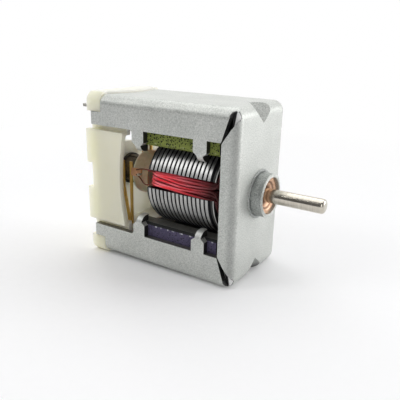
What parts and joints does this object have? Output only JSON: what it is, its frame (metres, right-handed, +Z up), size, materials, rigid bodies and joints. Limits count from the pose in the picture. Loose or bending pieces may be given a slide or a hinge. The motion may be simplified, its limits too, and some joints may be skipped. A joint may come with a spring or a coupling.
{
  "type": "open-frame dc motor",
  "caption": "Small brushed DC motor: folded open steel frame, ferrite magnets, wound laminated rotor on a round shaft, nylon end cap with brushes.",
  "frame": {"origin": "shaft axis at the outer face of the front plate, where the bearing collar stands", "axes": "+X along the shaft towards its tip, +Z up, the open sides face -Y and +Y"},
  "size_m": [0.0375, 0.0142, 0.0252],
  "materials": {
    "zinc_steel": "zinc-plated sheet steel, slightly mottled",
    "green_ferrite": "speckled ferrite, green face",
    "purple_ferrite": "speckled ferrite, purple face",
    "sintered_bronze": "oiled sintered bronze",
    "polished_steel": "ground and polished",
    "lamination_steel": "punched edge, bright land and dark break",
    "black_fibre": "black fibre",
    "red_enamel": "crimson enamelled copper wire",
    "amber_moulding": "translucent brown moulding",
    "copper": "worn copper",
    "dark_fibre": "dark fibre",
    "spring_brass": "golden spring metal",
    "tinned_brass": "tinned",
    "cream_nylon": "translucent cream nylon",
    "white_nylon": "natural nylon"
  },
  "bodies": {
    "stator": {"frame": "zinc_steel", "upper_magnet": "green_ferrite", "lower_magnet": "purple_ferrite", "front_bushing": "sintered_bronze", "rear_bushing": "sintered_bronze", "end_cap": "cream_nylon", "near_brush_leaf": "spring_brass", "far_brush_leaf": "spring_brass", "upper_terminal": "tinned_brass", "lower_terminal": "tinned_brass"},
    "rotor": {"shaft": "polished_steel", "lamination_01": "lamination_steel", "lamination_02": "lamination_steel", "lamination_03": "lamination_steel", "lamination_04": "lamination_steel", "lamination_05": "lamination_steel", "lamination_06": "lamination_steel", "lamination_07": "lamination_steel", "lamination_08": "lamination_steel", "lamination_09": "lamination_steel", "lamination_10": "lamination_steel", "lamination_11": "lamination_steel", "lamination_12": "lamination_steel", "lamination_13": "lamination_steel", "lamination_14": "lamination_steel", "lamination_15": "lamination_steel", "front_insulator": "black_fibre", "rear_insulator": "black_fibre", "coil_core_1": "red_enamel", "coil_core_2": "red_enamel", "coil_core_3": "red_enamel", "winding_1": "red_enamel", "winding_2": "red_enamel", "winding_3": "red_enamel", "commutator_hub": "amber_moulding", "commutator_ring": "dark_fibre", "commutator_segment_1": "copper", "commutator_segment_2": "copper", "commutator_segment_3": "copper", "front_spacer": "white_nylon", "front_washer": "white_nylon", "rear_washer": "white_nylon"}
  },
  "joints": [
    {"name": "rotor_spin", "type": "hinge", "parent": "stator", "child": "rotor", "pos_m": [0, 0, 0], "axis": [1, 0, 0], "continuous": true}
  ]
}
